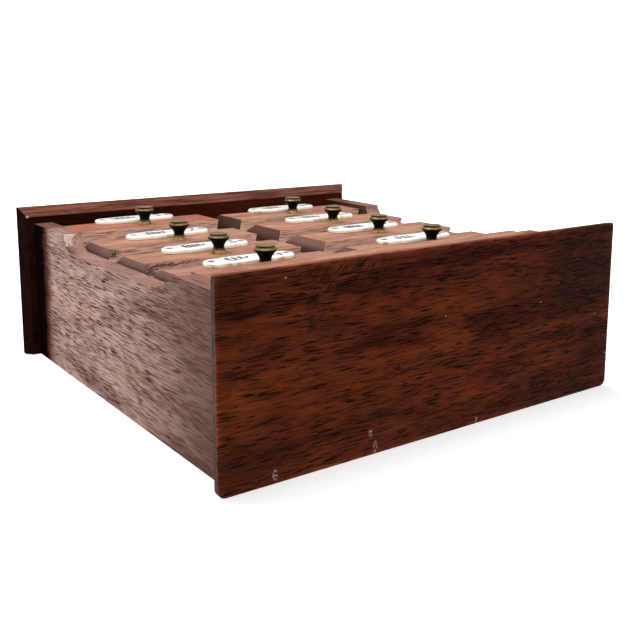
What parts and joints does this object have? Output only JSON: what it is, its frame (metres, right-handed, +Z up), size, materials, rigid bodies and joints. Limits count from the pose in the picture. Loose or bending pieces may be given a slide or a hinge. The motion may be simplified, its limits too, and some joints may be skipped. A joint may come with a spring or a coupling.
{
  "type": "spice drawer cabinet",
  "caption": "Small wooden spice cabinet with a bevelled cornice, scalloped sides and sliding drawers with brass knobs and porcelain label plaques.",
  "frame": {"origin": "centre of the bounding box's base, on the underside of the bottom board", "axes": "+Z up along the height, -Y towards the drawer fronts, +X to the right as seen from the front"},
  "size_m": [0.29, 0.108, 0.293],
  "materials": {
    "board_wood": "worn dark red-brown stain, satin",
    "side_wood": "worn mid-brown oak, satin",
    "front_wood": "worn orange-brown stain, satin",
    "inner_wood": "bare aged wood, matte",
    "brass": "aged and darkened, polished on the crown",
    "porcelain": "white glazed porcelain with cream edges",
    "iron": "dark oxidised"
  },
  "bodies": {
    "case": {"top_board": "board_wood", "bottom_board": "board_wood", "side_left": "side_wood", "side_right": "side_wood", "back_panel": "board_wood", "bottom_rail": "side_wood", "centre_divider": "inner_wood", "shelves_left": "inner_wood", "shelves_right": "inner_wood"},
    "drawer_1": {"drawer_1_front": "front_wood", "drawer_1_bottom": "inner_wood", "drawer_1_walls": "inner_wood", "drawer_1_knob": "brass", "drawer_1_label": "porcelain", "drawer_1_pins": "iron"},
    "drawer_2": {"drawer_2_front": "front_wood", "drawer_2_bottom": "inner_wood", "drawer_2_walls": "inner_wood", "drawer_2_knob": "brass", "drawer_2_label": "porcelain", "drawer_2_pins": "iron"},
    "drawer_3": {"drawer_3_front": "front_wood", "drawer_3_bottom": "inner_wood", "drawer_3_walls": "inner_wood", "drawer_3_knob": "brass", "drawer_3_label": "porcelain", "drawer_3_pins": "iron"},
    "drawer_4": {"drawer_4_front": "front_wood", "drawer_4_bottom": "inner_wood", "drawer_4_walls": "inner_wood", "drawer_4_knob": "brass", "drawer_4_label": "porcelain", "drawer_4_pins": "iron"},
    "drawer_5": {"drawer_5_front": "front_wood", "drawer_5_bottom": "inner_wood", "drawer_5_walls": "inner_wood", "drawer_5_knob": "brass", "drawer_5_label": "porcelain", "drawer_5_pins": "iron"},
    "drawer_6": {"drawer_6_front": "front_wood", "drawer_6_bottom": "inner_wood", "drawer_6_walls": "inner_wood", "drawer_6_knob": "brass", "drawer_6_label": "porcelain", "drawer_6_pins": "iron"},
    "drawer_7": {"drawer_7_front": "front_wood", "drawer_7_bottom": "inner_wood", "drawer_7_walls": "inner_wood", "drawer_7_knob": "brass", "drawer_7_label": "porcelain", "drawer_7_pins": "iron"},
    "drawer_8": {"drawer_8_front": "front_wood", "drawer_8_bottom": "inner_wood", "drawer_8_walls": "inner_wood", "drawer_8_knob": "brass", "drawer_8_label": "porcelain", "drawer_8_pins": "iron"}
  },
  "joints": [
    {"name": "drawer_1_slide", "type": "slide", "parent": "case", "child": "drawer_1", "axis": [0, -1, 0], "range_m": [-0.0054, 0.06]},
    {"name": "drawer_2_slide", "type": "slide", "parent": "case", "child": "drawer_2", "axis": [0, -1, 0], "range_m": [-0.0016, 0.06]},
    {"name": "drawer_3_slide", "type": "slide", "parent": "case", "child": "drawer_3", "axis": [0, -1, 0], "range_m": [-0.0005, 0.06]},
    {"name": "drawer_4_slide", "type": "slide", "parent": "case", "child": "drawer_4", "axis": [0, -1, 0], "range_m": [-0.0008, 0.06]},
    {"name": "drawer_5_slide", "type": "slide", "parent": "case", "child": "drawer_5", "axis": [0, -1, 0], "range_m": [-0.0035, 0.06]},
    {"name": "drawer_6_slide", "type": "slide", "parent": "case", "child": "drawer_6", "axis": [0, -1, 0], "range_m": [-0.0023, 0.06]},
    {"name": "drawer_7_slide", "type": "slide", "parent": "case", "child": "drawer_7", "axis": [0, -1, 0], "range_m": [-0.0017, 0.06]},
    {"name": "drawer_8_slide", "type": "slide", "parent": "case", "child": "drawer_8", "axis": [0, -1, 0], "range_m": [-0.0014, 0.06]}
  ]
}
